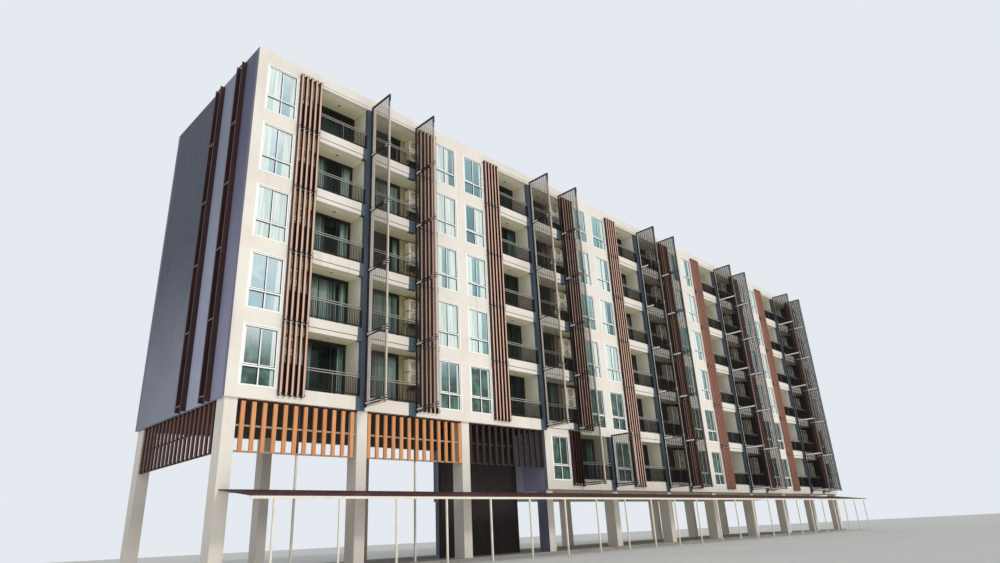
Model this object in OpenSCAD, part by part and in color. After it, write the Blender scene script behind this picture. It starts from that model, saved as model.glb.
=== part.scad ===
// Six storeys of flats over an open ground level, as a half-size model.
// The long front faces -Y and the ground is at z = 0.
// A bay is two mirrored flats that share one balcony pier.

/* [Block] */
// Storey height, floor line to floor line
storey_h = 1400; // [1350:10:1600]
// Height of the lowest floor line above the ground
base_h = 1540; // [1450:10:1800]
// Depth of the block, front face to rear face
depth = 4310; // [3900:10:5000]
// Bays along the front
bays = 5; // [4:1:7]
// Length of one bay
bay_l = 5350; // [5250:10:5800]
// Wall between the end of the block and its first bay
end_margin = 85; // [60:5:140]
// Thickness of the outer walls
wall_t = 100; // [80:5:120]

/* [Slabs and parapet] */
// Thickness of the ground slab
ground_t = 60; // [40:5:100]
// Floor slab above the floor line
slab_up = 45; // [30:5:60]
// Floor slab and balcony lip below the floor line
slab_down = 75; // [60:5:85]
// Deeper band of the two lowest floors below the floor line
base_drop = 98; // [90:1:120]
// Roof beam below the top floor line
roof_drop = 168; // [150:2:172]
// Thickness of the roof slab
roof_t = 140; // [100:5:145]
// Parapet above the top floor line
parapet_up = 140; // [80:10:300]

/* [Columns] */
// Width of a column along the front
col_w = 225; // [180:5:260]
// Depth of a column
col_d = 310; // [220:10:400]
// Column face behind the wall face
col_in = 70; // [50:5:90]
// First column in from the end of the block
col_end = 45; // [30:5:90]

/* [Balconies] */
// Balcony in from the edge of its flat
balc_in = 880; // [875:5:900]
// Depth of a balcony
balc_d = 540; // [450:10:650]
// Thickness of the wall at the side of a balcony
side_t = 70; // [50:5:90]
// Fascia above the floor line
curb_up = 160; // [120:5:180]
// Shadow groove below the floor line
groove_down = 17; // [10:1:30]
// Lower edge of a grooved fascia below the floor line
lip_down = 117; // [100:1:130]
// Height and depth of the shadow groove
groove = 12; // [5:1:16]
// Dark block in the fascia beside the pier
block_pier = 100; // [60:5:150]
// Dark block in the fascia beside the outer screen
block_cond = 200; // [120:10:300]
// Width of the pier between two balconies
pier_w = 225; // [180:5:240]

/* [Windows and doors] */
// Window in from the edge of its flat
win_in = 155; // [130:5:170]
// Width of a window
win_w = 650; // [560:10:670]
// Window sill above the floor line
win_sill = 120; // [100:5:125]
// Wall over a window, up to the next floor line
win_head = 195; // [180:5:300]
// Glass behind the wall face
pane_in = 30; // [20:2:50]
// Thickness of the glass
pane_t = 12; // [8:1:16]
// Balcony door in from the edge of its flat
door_in = 1470; // [1440:5:1600]
// Wall between a balcony door and the pier
door_edge = 20; // [15:5:120]
// Lintel over a balcony door
lintel_h = 16; // [12:2:120]

/* [Slat strips] */
// Slat strip in from the edge of its flat
strip_in = 845; // [840:5:860]
// Slats in a strip
strip_n = 5; // [4:1:5]
// Width of a slat
slat_w = 46; // [36:2:56]
// Depth of a slat
slat_d = 72; // [60:2:110]
// Gap between two slats
slat_gap = 65; // [40:1:66]
// Slat held off the wall
slat_off = 12; // [5:1:20]
// Height of the bracket behind the slats
bracket_h = 26; // [16:2:40]
// Depth of the bracket behind the slats
bracket_d = 34; // [26:2:50]
// Gap between one strip and the next one up
strip_joint = 14; // [6:2:30]
// Highest strip below the top floor line
strip_top = 98; // [40:2:160]
// Thickness of the panel behind the slats, up to the railing's height
guard_t = 10; // [6:1:11]

/* [Railings] */
// Railing above the floor line
rail_up = 600; // [540:5:640]
// Size of a rail and of a post
rail_w = 20; // [16:1:26]
// Railing behind the fascia's face
rail_in = 14; // [5:1:30]
// Gap between the two top rails
rail_pair = 26; // [16:2:40]
// Bottom rail above the fascia
rail_low = 34; // [20:2:60]
// Balusters in a railing
baluster_n = 14; // [10:1:16]
// Width of a baluster along the front
baluster_w = 9; // [7:1:12]
// Depth of a baluster from front to back
baluster_d = 16; // [8:1:16]

/* [Screens] */
// Outer screen in from the edge of its flat
screen_at = 1410; // [1395:5:1460]
// Reach of a screen from the wall
screen_out = 700; // [500:10:760]
// Size of a screen's tubes
tube_w = 34; // [26:1:40]
// Tall blades in a screen
screen_n = 12; // [8:1:13]
// Width of a blade
blade_w = 38; // [24:1:42]
// Thickness of a blade
blade_t = 4; // [3:1:6]
// Turn of a blade out of the screen's plane
blade_turn = 26; // [10:1:40]
// Gap between the two cross tubes at a floor line
cross_gap = 50; // [36:2:90]
// Size of a cross tube
cross_w = 22; // [16:1:28]
// Screen top below the top floor line
screen_top = 70; // [20:5:90]
// Screen foot below the first floor line, over the open podium
screen_drop = 40; // [25:5:60]

/* [Condensers] */
// Condenser in from the edge of its flat
cond_in = 973; // [940:1:990]
// Gap between a condenser and the wall behind it
cond_gap = 10; // [6:1:20]
// Width of a condenser
cond_w = 360; // [320:2:400]
// Depth of a condenser
cond_d = 168; // [130:2:180]
// Height of a condenser
cond_h = 262; // [230:2:270]
// Upper shelf below the next floor line
cond_drop = 470; // [466:2:500]
// Upper shelf above the lower one
cond_step = 290; // [290:2:310]
// Thickness of a shelf
shelf_t = 14; // [8:1:18]

/* [Gables] */
// First slot in from the front
slot_a = 600; // [400:10:700]
// Second slot in from the front
slot_b = 1665; // [1300:10:1900]
// Width of a slot
slot_w = 210; // [160:5:260]
// Height of a slot window above its floor line
slot_win_h = 960; // [700:10:1100]
// Thickness of a gable fin
gfin_t = 35; // [25:1:45]
// Reach of a gable fin from the wall
gfin_d = 98; // [60:2:140]
// Height of the bracket between two fins
gfin_bar = 16; // [10:1:26]
// Fin top below the parapet top
gfin_top = 85; // [20:5:100]

/* [Podium slats] */
// Width of a board
board_w = 72; // [50:2:80]
// Thickness of a board
board_t = 36; // [24:2:50]
// Spacing of the boards
board_step = 196; // [130:2:210]
// Lower end of the boards above the lowest floor line
board_low = 415; // [300:5:500]
// Height of a slat rail
brail_h = 30; // [20:2:44]
// Thickness of a slat rail
brail_t = 24; // [16:2:36]
// Size of the thin post behind the boards
thin_post = 34; // [24:2:50]
// Depth of the recess in the third bay of the podium
recess_d = 1050; // [700:10:1400]

/* [Canopy] */
// Reach of the canopy from the wall face
canopy_out = 1120; // [800:10:1300]
// Canopy in from the end of the block
canopy_in = 85; // [0:5:150]
// Canopy's high edge below the lowest floor line
canopy_drop = 190; // [180:5:260]
// Fall from the high edge to the eave
canopy_fall = 160; // [100:5:220]
// Thickness of the roof sheet
sheet_t = 16; // [10:1:24]
// Height of the eave beam
eave_h = 40; // [36:2:80]
// Thickness of the eave beam and size of the posts
eave_t = 30; // [24:1:40]
// Spacing wanted between the canopy posts
post_step = 1140; // [900:10:1500]
// First canopy post in from the end of the block
post_in = 470; // [200:10:600]

/* [Hidden] */
// Storeys of flats, which the node names count
storeys = 6;
// Half bays that stand on the open podium
podium_halves = 3;
halves = 2 * bays;
half_l = bay_l / 2;
length = 2 * end_margin + bays * bay_l;
pier_half = pier_w / 2;
balc_end = half_l - pier_half;
// Left face of the flats on the lowest storey
low_x = line_x(podium_halves) - pier_half;
roof_z = floor_z(storeys) - roof_drop;
win_h = storey_h - win_sill - win_head;
screen_z = floor_z(storeys) - screen_top;
canopy_slope = canopy_fall / canopy_out;
post_n = round((length - 2 * post_in) / post_step) + 1;
post_gap = (length - 2 * post_in) / (post_n - 1);
// Small overlap so that a cut passes its face
cut = 5;

function floor_z(k) = base_h + k * storey_h;
function line_x(h) = end_margin + h * half_l;
function first_half(k) = k == 0 ? podium_halves : 0;
// The lowest storey's first flat isn't mirrored, unlike the flats above it
function mirrored(h, k) = h % 2 == 1 && !(k == 0 && h == podium_halves);
function left_x(k) = k == 0 ? low_x : 0;
function flats(k) = [first_half(k) : halves - 1];
function band_drop(k) = k < 2 ? base_drop : slab_down;
// The lowest storey's first strip has one slat less, beside the screen that comes down there
function slats(h, k) = k == 0 && h == podium_halves ? strip_n - 1 : strip_n;
function strip_l(n) = n * slat_w + (n - 1) * slat_gap;
function rail_x(h, k) = strip_in + strip_l(slats(h, k));
function storey_top(k) = k == storeys - 1 ? roof_z : floor_z(k + 1) - band_drop(k + 1);
function storey_room(k) = storey_top(k) - floor_z(k) - slab_up;
function door_h(k) = storey_room(k) - lintel_h;
// Under side of the canopy sheet at a distance y from the wall face, y negative outside
function sheet_z(y) = floor_z(0) - canopy_drop + y * canopy_slope - sheet_t;

module at_corner() {
    translate([-length / 2, -depth / 2, 0]) children();
}

// Puts a piece in one flat's own frame, x counted from the flat's outer edge
module in_flat(h, k = 1) {
    if (mirrored(h, k))
        translate([line_x(h + 1), 0, 0]) mirror([1, 0, 0]) children();
    else
        translate([line_x(h), 0, 0]) children();
}

// Extrudes an outline drawn in y and z along x
module along_x(l) {
    rotate([90, 0, 90]) linear_extrude(l) children();
}

module box(x, y, z, l, d, h) {
    translate([x, y, z]) cube([l, d, h]);
}

module ground_slab() {
    color("silver") at_corner() cube([length, depth, ground_t]);
}

module column(x, top) {
    for (y = [col_in, depth - col_in - col_d])
        box(x, y, ground_t, col_w, col_d, top - ground_t);
}

module columns() {
    color("wheat") at_corner() {
        column(col_end, floor_z(1) - base_drop);
        for (h = [1 : podium_halves - 1])
            column(line_x(h) - col_w / 2, floor_z(1) - base_drop);
        for (h = [podium_halves : halves - 1])
            column(line_x(h) - col_w / 2, floor_z(0) - base_drop);
        column(length - col_end - col_w, floor_z(0) - base_drop);
    }
}

// Left end and length of each podium bay between its columns
function podium_bay(i) =
    let (a = i == 0 ? col_end + col_w : line_x(i) + col_w / 2)
    let (b = i == podium_halves - 1 ? low_x : line_x(i + 1) - col_w / 2)
    [a, b - a];

module podium_posts() {
    color("gainsboro") at_corner() for (i = [0 : podium_halves - 2]) {
        bay = podium_bay(i);
        box(bay[0] + bay[1] / 2 - thin_post / 2, col_in + board_t + brail_t, ground_t,
            thin_post, thin_post, floor_z(1) - base_drop - ground_t);
    }
}

module podium_recess_wall() {
    color("dimgray") at_corner() {
        x = line_x(podium_halves - 1) + col_w / 2;
        box(x, recess_d, ground_t, low_x - x, wall_t, floor_z(1) - base_drop - ground_t);
    }
}

module podium_end_wall() {
    color("slategray") at_corner()
        box(low_x, wall_t, floor_z(0) - base_drop, wall_t, depth - 2 * wall_t, storey_h);
}

// Boards fixed to three rails, l long, hung below the first floor's band
module slat_panel(l) {
    n = floor((l - board_w) / board_step) + 1;
    first = (l - board_w - (n - 1) * board_step) / 2;
    high = floor_z(1) - base_drop;
    low = floor_z(0) + board_low;
    for (i = [0 : n - 1])
        box(first + i * board_step, 0, low, board_w, board_t, high - low);
    for (z = [low, (low + high - brail_h) / 2, high - brail_h])
        box(0, board_t, z, l, brail_t, brail_h);
}

module podium_slats() {
    color("peru") at_corner() for (i = [0 : podium_halves - 1]) {
        bay = podium_bay(i);
        translate([bay[0], col_in, 0]) slat_panel(bay[1]);
    }
}

module gable_slats() {
    color("saddlebrown") at_corner()
        translate([col_end, depth - col_in - col_d, 0]) rotate([0, 0, -90])
            slat_panel(depth - 2 * (col_in + col_d));
}

module floor_slab(k) {
    left = left_x(k) + wall_t;
    color("wheat") at_corner()
        box(left, wall_t, floor_z(k) - band_drop(k), length - wall_t - left,
            depth - 2 * wall_t, band_drop(k) + slab_up);
}

module roof_slab() {
    color("silver") at_corner()
        box(wall_t, wall_t, roof_z, length - 2 * wall_t, depth - 2 * wall_t, roof_t);
}

module long_parapets() {
    color("antiquewhite") at_corner() for (y = [0, depth - wall_t])
        box(0, y, roof_z, length, wall_t, roof_drop + parapet_up);
}

module end_parapets() {
    color("slategray") at_corner() for (x = [0, length - wall_t])
        box(x, wall_t, roof_z, wall_t, depth - 2 * wall_t, roof_drop + parapet_up);
}

// A band of wall at y, drawn in each flat from its outer edge to inner, and out to both ends
module wall_row(k, y, inner, z, h) {
    for (i = flats(k))
        in_flat(i, k) box(0, y, z, inner, wall_t, h);
    box(left_x(k), y, z, line_x(first_half(k)) - left_x(k), wall_t, h);
    box(line_x(halves), y, z, end_margin, wall_t, h);
}

// Bands under and over one storey's windows
module spandrels(k, y, inner) {
    head = floor_z(k) + win_sill + win_h;
    wall_row(k, y, inner, floor_z(k) - band_drop(k), band_drop(k) + win_sill);
    wall_row(k, y, inner, head, storey_top(k) - head);
}

// Wall at both sides of one storey's windows
module wall_piers(k, y, inner) {
    z = floor_z(k) + win_sill;
    wall_row(k, y, win_in, z, win_h);
    for (i = flats(k))
        in_flat(i, k) box(win_in + win_w, y, z, inner - win_in - win_w, wall_t, win_h);
}

module front_spandrels() {
    color("antiquewhite") at_corner() for (k = [1 : storeys - 1])
        spandrels(k, 0, balc_in);
}

module low_spandrels() {
    color("antiquewhite") at_corner() {
        spandrels(0, 0, balc_in);
        spandrels(0, depth - wall_t, half_l);
    }
}

module front_wall_piers() {
    color("antiquewhite") at_corner() for (k = [0 : storeys - 1])
        wall_piers(k, 0, balc_in);
}

module rear_spandrels() {
    color("antiquewhite") at_corner() for (k = [1 : storeys - 1])
        spandrels(k, depth - wall_t, half_l);
}

module rear_wall_piers() {
    color("antiquewhite") at_corner() for (k = [0 : storeys - 1])
        wall_piers(k, depth - wall_t, half_l);
}

// The other gable is the same, one storey taller
module right_end() {
    translate([length, 0, 0]) mirror([1, 0, 0]) children();
}

// Tall panels beside the two slots
module gable_panels(k) {
    z = floor_z(k) - base_drop;
    edges = [wall_t, slot_a, slot_a + slot_w, slot_b, slot_b + slot_w, depth - wall_t];
    for (i = [0, 2, 4])
        box(0, edges[i], z, wall_t, edges[i + 1] - edges[i], roof_z - z);
}

module gable_walls() {
    color("slategray") at_corner() {
        gable_panels(1);
        right_end() gable_panels(0);
    }
}

// Wall between the slot windows of one gable
module slot_spandrels(k0) {
    for (k = [k0 : storeys]) {
        low = k == k0 ? floor_z(k) - base_drop : floor_z(k - 1) + slab_up + slot_win_h;
        high = k == storeys ? roof_z : floor_z(k) + slab_up;
        for (y = [slot_a, slot_b])
            box(0, y, low, wall_t, slot_w, high - low);
    }
}

module gable_spandrels() {
    color("slategray") at_corner() {
        slot_spandrels(1);
        right_end() slot_spandrels(0);
    }
}

module balcony_piers() {
    color("darkslategray") at_corner() {
        for (i = [1 : 2 : halves - 1]) {
            z = floor_z(i <= podium_halves ? 1 : 0) - base_drop;
            box(line_x(i) - pier_half, 0, z, pier_w, wall_t, roof_z - z);
        }
        // Half pier where the lowest storey's first balcony ends
        z = floor_z(0) - base_drop;
        box(line_x(podium_halves + 1) - pier_half, 0, z, pier_half, wall_t, storey_top(0) - z);
    }
}

module balcony_party_walls() {
    color("darkslategray") at_corner() for (k = [0 : storeys - 1])
        for (i = flats(k))
            in_flat(i, k) box(balc_end, wall_t, floor_z(k) + slab_up,
                pier_half, balc_d - wall_t, storey_room(k));
}

module balcony_side_walls() {
    color("wheat") at_corner() for (k = [0 : storeys - 1])
        for (i = flats(k))
            in_flat(i, k) box(balc_in - side_t, wall_t, floor_z(k) + slab_up,
                side_t, balc_d, storey_room(k));
}

module balcony_jambs() {
    color("wheat") at_corner() for (k = [0 : storeys - 1])
        for (i = flats(k))
            in_flat(i, k)
                for (x = [[balc_in, door_in - balc_in], [balc_end - door_edge, door_edge + pier_half]])
                    box(x[0], balc_d, floor_z(k) + slab_up, x[1], wall_t, door_h(k));
}

module balcony_lintels() {
    color("wheat") at_corner() for (k = [0 : storeys - 1])
        for (i = flats(k))
            in_flat(i, k) box(balc_in, balc_d, storey_top(k) - lintel_h,
                half_l - balc_in, wall_t, lintel_h);
}

// A balcony with another one under it has a shadow groove in its fascia
function grooved(h, k) = k > 1 || (k == 1 && h >= podium_halves);

// The lip hangs lower than the slab, but not over the lowest storey's first wall
function fascia_drop(h, k) = k > 1 || (k == 1 && h > podium_halves) ? lip_down : band_drop(k);

// Upper band, shadow groove and lip of a fascia, drawn in y and z
module fascia_outline(drop) {
    polygon([
        [0, curb_up], [wall_t, curb_up], [wall_t, -drop], [groove, -drop],
        [groove, -groove_down - groove], [2 * groove, -groove_down - groove],
        [2 * groove, -groove_down], [0, -groove_down]
    ]);
}

module fascia(i, k, from, to) {
    in_flat(i, k)
        if (grooved(i, k))
            translate([from, 0, floor_z(k)])
                along_x(to - from) fascia_outline(fascia_drop(i, k));
        else
            box(from, 0, floor_z(k) - band_drop(k), to - from, wall_t, band_drop(k) + curb_up);
}

module balcony_fascias() {
    color("antiquewhite") at_corner() for (k = [0 : storeys - 1])
        for (i = flats(k))
            if (mirrored(i, k)) {
                fascia(i, k, balc_in, screen_at);
                fascia(i, k, screen_at + block_cond, balc_end);
            } else
                fascia(i, k, balc_in, balc_end - block_pier);
}

module fascia_blocks() {
    color("darkslategray") at_corner() for (k = [0 : storeys - 1])
        for (i = flats(k)) {
            x = mirrored(i, k) ? screen_at : balc_end - block_pier;
            l = mirrored(i, k) ? block_cond : block_pier;
            drop = fascia_drop(i, k);
            in_flat(i, k) box(x, 0, floor_z(k) - drop, l, wall_t, drop + curb_up);
        }
}

module window_panes(y) {
    for (k = [0 : storeys - 1])
        for (i = flats(k))
            in_flat(i, k) box(win_in, y, floor_z(k) + win_sill, win_w, pane_t, win_h);
}

module front_windows() {
    color("lightcyan") at_corner() window_panes(pane_in);
}

module rear_windows() {
    color("lightcyan") at_corner() window_panes(depth - pane_in - pane_t);
}

module balcony_doors() {
    color("darkseagreen") at_corner() for (k = [0 : storeys - 1])
        for (i = flats(k))
            in_flat(i, k) box(door_in, balc_d + pane_in, floor_z(k) + slab_up,
                balc_end - door_edge - door_in, pane_t, door_h(k));
}

module slot_panes(k0) {
    for (k = [k0 : storeys - 1])
        for (y = [slot_a, slot_b])
            box(pane_in, y, floor_z(k) + slab_up, pane_t, slot_w, slot_win_h);
}

module gable_windows() {
    color("dimgray") at_corner() {
        slot_panes(1);
        right_end() slot_panes(0);
    }
}

// Posts, two top rails, a bottom rail and balusters on one fascia
module railing(l) {
    rails = [curb_up + rail_low, rail_up - 2 * rail_w - rail_pair, rail_up - rail_w];
    for (z = rails)
        box(0, rail_in, z, l, rail_w, rail_w);
    for (x = [0, (l - rail_w) / 2, l - rail_w])
        box(x, rail_in, curb_up, rail_w, rail_w, rail_up - curb_up);
    gap = (l - rail_w) / (baluster_n + 1);
    for (i = [1 : baluster_n])
        box(i * gap + (rail_w - baluster_w) / 2, rail_in + (rail_w - baluster_d) / 2,
            rails[0], baluster_w, baluster_d, rails[1] - rails[0] + rail_w / 2);
}

module railings(from_k, to_k) {
    color("black") at_corner() for (k = [from_k : to_k])
        for (i = flats(k))
            in_flat(i, k) translate([rail_x(i, k), 0, floor_z(k)]) railing(balc_end - rail_x(i, k));
}

// One storey of n slats on two brackets, with a low panel behind, z from the strip's lower end
module slat_strip(n, l) {
    for (i = [0 : n - 1])
        box(i * (slat_w + slat_gap), -slat_off - slat_d, 0, slat_w, slat_d, l);
    for (z = [bracket_h, l - 2 * bracket_h])
        box(0, -bracket_d, z, strip_l(n), bracket_d, bracket_h);
    box(0, -guard_t, 2 * bracket_h, strip_l(n), guard_t, rail_up - 2 * bracket_h);
}

module slat_strips() {
    color("saddlebrown") at_corner() for (k = [0 : storeys - 1])
        for (i = flats(k)) {
            l = storey_h - (k == storeys - 1 ? strip_top : strip_joint);
            in_flat(i, k) translate([strip_in, 0, floor_z(k)]) slat_strip(slats(i, k), l);
        }
}

// Two tall tubes with a pair of cross tubes at each floor line
module screen_frame(low_z, high_z) {
    inner = -tube_w;
    outer = -screen_out;
    for (y = [inner, outer])
        box(-tube_w / 2, y, low_z, tube_w, tube_w, high_z - low_z);
    for (k = [0 : storeys])
        if (floor_z(k) > low_z - cross_w && floor_z(k) < high_z)
            for (z = [floor_z(k), floor_z(k) + cross_gap])
                box(-tube_w / 2, outer, z, cross_w, screen_out, cross_w);
    box(-tube_w / 2, outer, high_z - tube_w, tube_w, screen_out, tube_w);
}

// Tall blades that stand slanted against the cross tubes
module screen_bar_set(low_z, high_z) {
    step = (screen_out - 2 * tube_w) / (screen_n + 1);
    for (i = [1 : screen_n])
        translate([cross_w - tube_w / 2, -tube_w - i * step - blade_w / 2, low_z])
            rotate([0, 0, -blade_turn]) cube([blade_t, blade_w, high_z - tube_w - low_z]);
}

// Place and lowest floor of every screen: one at each pier, one at each mirrored flat's strip
function screen_list() = concat(
    [for (h = [0 : halves - 1]) h % 2 == 1
        ? [line_x(h + 1) - screen_at, h <= 1 ? 1 : 0]
        : [line_x(h + 1), h < podium_halves ? 1 : 0]],
    [[line_x(podium_halves + 1), -1]]
);

module each_screen(bars) {
    for (s = screen_list()) {
        short = s[1] < 0;
        low = s[1] > 0 ? floor_z(1) - screen_drop : floor_z(0);
        high = short ? floor_z(1) - screen_drop : screen_z;
        translate([s[0], 0, 0])
            if (bars) screen_bar_set(low, high);
            else screen_frame(low, high);
    }
}

module screen_frames() {
    color("dimgray") at_corner() each_screen(false);
}

module screen_bars() {
    color("gray") at_corner() each_screen(true);
}

module fin_pair(y, k0) {
    low = floor_z(k0) - base_drop;
    high = floor_z(storeys) + parapet_up - gfin_top;
    for (side = [y - gfin_t, y + slot_w])
        box(-gfin_d, side, low, gfin_d, gfin_t, high - low);
}

module gable_fins() {
    color("maroon") at_corner() for (y = [slot_a, slot_b]) {
        fin_pair(y, 1);
        right_end() fin_pair(y, 0);
    }
}

// Brackets between the outer edges of a pair of fins
module pair_brackets(y, k0) {
    for (k = [k0 : storeys])
        box(-gfin_d, y, floor_z(k) - gfin_bar / 2, bracket_h, slot_w, gfin_bar);
}

module fin_brackets() {
    color("gainsboro") at_corner() for (y = [slot_a, slot_b]) {
        pair_brackets(y, 1);
        right_end() pair_brackets(y, 0);
    }
}

// Outdoor unit with its fan recess, on a shelf from the wall behind the balcony
module condenser(z) {
    translate([cond_in, balc_d - cond_gap - cond_d, z]) {
        cube([cond_w, cond_d + cond_gap, shelf_t]);
        translate([0, 0, shelf_t]) difference() {
            cube([cond_w, cond_d, cond_h]);
            translate([cond_w * 0.58, -cut, cond_h / 2]) rotate([-90, 0, 0])
                cylinder(d = cond_h * 0.8, h = cut + groove, $fn = 32);
        }
    }
}

module condensers() {
    color("whitesmoke") at_corner() for (k = [0 : storeys - 1])
        for (i = flats(k))
            in_flat(i, k) for (z = [0, cond_step])
                condenser(floor_z(k) + storey_h - cond_drop - z);
}

module canopy_roof() {
    color("rosybrown") at_corner() translate([canopy_in, 0, 0])
        along_x(length - 2 * canopy_in) polygon([
            [col_in, sheet_z(col_in)], [col_in, sheet_z(col_in) + sheet_t],
            [-canopy_out, sheet_z(-canopy_out) + sheet_t], [-canopy_out, sheet_z(-canopy_out)]
        ]);
}

// Beam under the sheet from y to y + eave_t, flat below
module sheet_beam(y) {
    low = sheet_z(y) - eave_h;
    translate([canopy_in, 0, 0]) along_x(length - 2 * canopy_in) polygon([
        [y, sheet_z(y)], [y + eave_t, sheet_z(y + eave_t)], [y + eave_t, low], [y, low]
    ]);
}

module rafter() {
    back = col_in - eave_t;
    along_x(eave_t) polygon([
        [-canopy_out, sheet_z(-canopy_out)], [back, sheet_z(back)],
        [back, sheet_z(back) - eave_t], [-canopy_out, sheet_z(-canopy_out) - eave_t]
    ]);
}

function post_x(i) = post_in + i * post_gap - eave_t / 2;

module canopy_frame() {
    color("gainsboro") at_corner() {
        sheet_beam(-canopy_out);
        sheet_beam(col_in - eave_t);
        for (i = [0 : post_n - 1])
            translate([post_x(i), 0, 0]) rafter();
    }
}

module canopy_posts() {
    color("gainsboro") at_corner() for (i = [0 : post_n - 1])
        box(post_x(i), -canopy_out, 0, eave_t, eave_t, sheet_z(-canopy_out) - eave_h);
}

ground_slab();
columns();
podium_posts();
podium_recess_wall();
podium_end_wall();
podium_slats();
gable_slats();
floor_slab(0);  // floor_slab_0
floor_slab(1);  // floor_slab_1
floor_slab(2);  // floor_slab_2
floor_slab(3);  // floor_slab_3
floor_slab(4);  // floor_slab_4
floor_slab(5);  // floor_slab_5
roof_slab();
long_parapets();
end_parapets();
front_spandrels();
front_wall_piers();
low_spandrels();
rear_spandrels();
rear_wall_piers();
gable_walls();
gable_spandrels();
balcony_piers();
balcony_party_walls();
balcony_side_walls();
balcony_jambs();
balcony_lintels();
balcony_fascias();
fascia_blocks();
front_windows();
balcony_doors();
rear_windows();
gable_windows();
railings(0, 2);  // railings_low
railings(3, 5);  // railings_high
slat_strips();
screen_frames();
screen_bars();
gable_fins();
fin_brackets();
condensers();
canopy_roof();
canopy_frame();
canopy_posts();
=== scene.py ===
# Looks of the half-size block of flats: frames, panes, railings, units, tiles and finishes
import math
import random

import bpy
from mathutils import Matrix, Vector


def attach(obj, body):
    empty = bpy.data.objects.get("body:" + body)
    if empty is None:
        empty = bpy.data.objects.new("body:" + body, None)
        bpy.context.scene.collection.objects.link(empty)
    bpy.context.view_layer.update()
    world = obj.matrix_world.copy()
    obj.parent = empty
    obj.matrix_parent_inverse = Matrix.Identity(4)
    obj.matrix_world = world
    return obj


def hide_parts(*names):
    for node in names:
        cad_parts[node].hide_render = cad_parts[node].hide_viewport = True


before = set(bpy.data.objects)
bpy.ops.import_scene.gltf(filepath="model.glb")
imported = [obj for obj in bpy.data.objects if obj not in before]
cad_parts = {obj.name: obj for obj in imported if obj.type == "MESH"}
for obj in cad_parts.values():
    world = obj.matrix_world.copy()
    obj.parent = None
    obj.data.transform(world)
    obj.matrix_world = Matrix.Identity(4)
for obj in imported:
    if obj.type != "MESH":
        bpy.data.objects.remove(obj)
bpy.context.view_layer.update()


random.seed(7)

# Sizes of the block in millimetres, counted from the left end, the front face and the ground
STOREY, BASE, DEPTH = 1400, 1540, 4310
BAYS, BAY, MARGIN = 5, 5350, 85
HALF = BAY / 2
LENGTH = 2 * MARGIN + BAYS * BAY
# Storeys, flats in a storey, and flats whose place the podium takes in the lowest storey
STOREYS, HALVES, PODIUM = 6, 2 * BAYS, 3
# Slabs over and under their floor line, the deeper band of the two lowest, and the roof beam
SLAB_UP, SLAB_DOWN, BASE_DROP, ROOF_DROP = 45, 75, 98, 168
# Half a column or pier, the columns' set-back from front and end, and the podium's boards
COL_HALF, COL_IN, COL_END = 112.5, 70, 45
BOARD_T, BOARD_UP, BOARD_STEP = 36, 415, 196
# Balcony: where its fascia starts, its depth, its end at the pier, and its curb
BALC_IN, BALC_D, BALC_END, CURB = 880, 540, HALF - COL_HALF, 160
# Slat strips and railings
STRIP_IN, SLAT_W, SLAT_STEP, SLAT_N = 845, 46, 111, 5
RAIL_UP, RAIL_W, RAIL_Y, RAIL_PAIR = 600, 20, 14, 26
# Screens: place, reach, tubes, pairs of cross tubes, and gaps at the ends
SCREEN_AT, SCREEN_OUT, TUBE, CROSS_W, CROSS_GAP = 1410, 700, 34, 22, 50
SCREEN_TOP, SCREEN_DROP = 70, 40
# Windows, doors, slots in the gables, and grooves in the fascias
WIN_IN, WIN_W, WIN_SILL, WIN_H = 155, 650, 120, 1085
DOOR_IN, DOOR_EDGE, LINTEL = 1470, 20, 16
SLOT_W, SLOT_H, SLOTS = 210, 960, (600, 1665)
GROOVE_DOWN, GROOVE = 17, 12
# Units on the balconies: place along the flat, width, depth, height, front, levels and shelf
COND_IN, COND_W, COND_D, COND_H = 973, 360, 168, 262
COND_Y, COND_UP, SHELF_T = BALC_D - 178, (640, 930), 14
# Canopy: reach, set-back from the ends, drop of its eave, fall, and tiles in a row
CANOPY_OUT, CANOPY_IN, CANOPY_DROP, CANOPY_FALL, TILES = 1120, 85, 190, 160, 319
# Stretches along the block, in the frame's metres, over which a paint changes; most of them carry painted
# light, shade and reflections
WALL_SHADE_DEEPENS, BLADES_DARKEN, TUBE_LIGHT_FADES = (-6.0, -1.5), (-9.0, -4.0), (-4.5, -2.0)
SLATS_REDDEN, TREE_REFLECTION_RISES, SKY_REFLECTION_PALES, DOORS_DARKEN = (-1.5, 3.4), (-9.0, -7.5), (-12.4, -6.5), (-9.0, -6.5)


def level(k):
    """Height of a storey's floor line."""
    return BASE + k * STOREY


def line(h):
    """Where a flat starts, with the flats counted from the left."""
    return MARGIN + h * HALF


def frame_x(x):
    """A place along the block, in the frame's metres."""
    return (x - LENGTH / 2) / 1000


def frame_y(y):
    """A depth behind the front face, in the frame's metres."""
    return (y - DEPTH / 2) / 1000


def mirrored(h, k):
    """Every second flat is mirrored, but not the end flat of the lowest storey."""
    return h % 2 == 1 and not (k == 0 and h == PODIUM)


def flats():
    """Every flat, as its number from the left and its storey."""
    return [(h, k) for k in range(STOREYS) for h in range(PODIUM if k == 0 else 0, HALVES)]


def span(h, k, a, b):
    """Left and right x of a stretch that a flat counts from its outer edge."""
    if mirrored(h, k):
        return line(h + 1) - b, line(h + 1) - a
    return line(h) + a, line(h) + b


def slats(h, k):
    """Slats in a flat's strip, one less in the end flat of the lowest storey."""
    return SLAT_N - 1 if k == 0 and h == PODIUM else SLAT_N


def rail_from(h, k):
    """Where a flat's railing starts, past its slats."""
    return STRIP_IN + (slats(h, k) - 1) * SLAT_STEP + SLAT_W


def turned(stretch, whole, flip):
    """A stretch, counted from the other end of the whole where flip says so."""
    a, b = stretch
    return (whole - b, whole - a) if flip else (a, b)


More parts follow.
